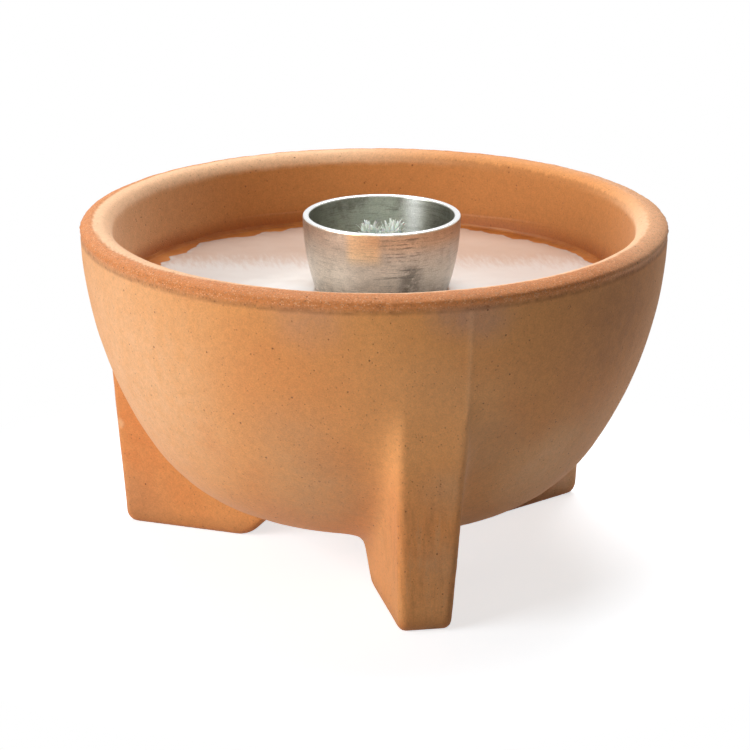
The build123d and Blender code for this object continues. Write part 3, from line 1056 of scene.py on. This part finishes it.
def add_camera(settings):
    """The camera: its direction and pitch are the bowl's own view."""
    lens = bpy.data.cameras.new("camera")
    lens.sensor_width = 36
    lens.lens = settings.lens
    lens.shift_x = settings.shift
    camera = add_object("camera", lens)
    camera.rotation_euler = (math.pi / 2 - settings.pitch, 0, settings.turn)
    x, y = settings.distance * math.sin(settings.turn), -settings.distance * math.cos(settings.turn)
    camera.location = (x, y, settings.height)
    bpy.context.scene.camera = camera


def seen_directly(tree):
    """1 for rays from the camera, from glossy surfaces and through clear ones."""
    path = tree.nodes.new("ShaderNodeLightPath").outputs
    seen = path["Is Camera Ray"]
    for other in ("Is Glossy Ray", "Is Transmission Ray"):
        either = tree.nodes.new("ShaderNodeMath")
        either.operation = "MAXIMUM"
        tree.links.new(seen, either.inputs[0])
        tree.links.new(path[other], either.inputs[1])
        seen = either.outputs[0]
    return seen


def add_surroundings(settings):
    """Even light from all round, which shows as plain white."""
    world = bpy.data.worlds.new("studio_air")
    bpy.context.scene.world = world
    world.use_nodes = True
    tree = world.node_tree
    strength = tree.nodes.new("ShaderNodeMapRange")
    tree.links.new(seen_directly(tree), strength.inputs["Value"])
    strength.inputs["To Min"].default_value = settings.air
    strength.inputs["To Max"].default_value = 1.0
    background = tree.nodes["Background"]
    background.inputs["Color"].default_value = (1, 1, 1, 1)
    tree.links.new(strength.outputs[0], background.inputs["Strength"])


def add_floor(settings):
    """A pale round floor that keeps a soft shadow."""
    columns = 64
    points = [
        (radius * math.cos(2 * math.pi * k / columns), radius * math.sin(2 * math.pi * k / columns), 0)
        for radius in FLOOR_RINGS for k in range(columns)
    ]
    faces = grid_faces(len(FLOOR_RINGS), columns) + [tuple(range(columns))]
    floor = add_object("floor", make_mesh("floor", points, faces))
    f = Finish("floor_paper")
    f.finish(Base_Color=settings.floor, Roughness=0.95, Specular_IOR_Level=0.0)
    paper = f.shader.outputs[0]
    away = f.ramp(f.vector("LENGTH", f.place), settings.shadow, settings.shadow_end)
    beside = f.joined("ShaderNodeAddShader", paper, f.glow(settings.glow))
    picture = f.joined("ShaderNodeMixShader", away, beside, f.glow(1.0))
    surface = f.joined("ShaderNodeMixShader", seen_directly(f.tree), paper, picture)
    f.tree.links.new(surface, f.tree.nodes["Material Output"].inputs["Surface"])
    floor.data.materials.append(f.material)


class BURNER_OT_stage(bpy.types.Operator):
    """Adds the camera, the lamps, the floor and the surroundings"""

    bl_idname = "burner.make_stage"
    bl_label = "Make stage"

    def execute(self, context):
        settings = context.scene.burner_stage
        add_camera(settings)
        for name, power, degrees, distance, height, target, width, depth in LAMPS:
            place = around(degrees, distance, height)
            softbox(name, getattr(settings, power), place, (0, 0, target), width, depth)
        add_surroundings(settings)
        add_floor(settings)
        context.scene.view_settings.view_transform = "Standard"
        return {"FINISHED"}


# ---- panel and registration ----
class BURNER_PT_panel(bpy.types.Panel):
    """Lists the burner's operators and settings."""

    bl_idname = "BURNER_PT_panel"
    bl_label = "Garden wax burner"
    bl_space_type = "VIEW_3D"
    bl_region_type = "UI"
    bl_category = "Burner"

    def draw(self, context):
        for operator in OPERATORS:
            self.layout.operator(operator.bl_idname)
        for name in GROUPS:
            group = getattr(context.scene, name)
            box = self.layout.box()
            box.label(text=name.replace("_", " ").capitalize())
            for key in group.__annotations__:
                box.prop(group, key)


OPERATORS = (BURNER_OT_stage, BURNER_OT_bowl, BURNER_OT_wax, BURNER_OT_cup, BURNER_OT_wick)
GROUPS = {
    "burner_clay": BurnerClay,
    "burner_wax": BurnerWax,
    "burner_cup": BurnerCup,
    "burner_wick": BurnerWick,
    "burner_stage": BurnerStage,
}


def register():
    """Registers the groups, the operators and the panel."""
    for name, group in GROUPS.items():
        bpy.utils.register_class(group)
        setattr(bpy.types.Scene, name, PointerProperty(type=group))
    for operator in OPERATORS:
        bpy.utils.register_class(operator)
    bpy.utils.register_class(BURNER_PT_panel)


def unregister():
    """Takes away what register added."""
    bpy.utils.unregister_class(BURNER_PT_panel)
    for operator in reversed(OPERATORS):
        bpy.utils.unregister_class(operator)
    for name, group in reversed(list(GROUPS.items())):
        delattr(bpy.types.Scene, name)
        bpy.utils.unregister_class(group)


def main():
    register()
    bpy.ops.burner.make_stage()
    bpy.ops.burner.make_bowl()
    bpy.ops.burner.make_wax()
    bpy.ops.burner.finish_cup()
    bpy.ops.burner.make_wick()


if __name__ == "__main__":
    main()
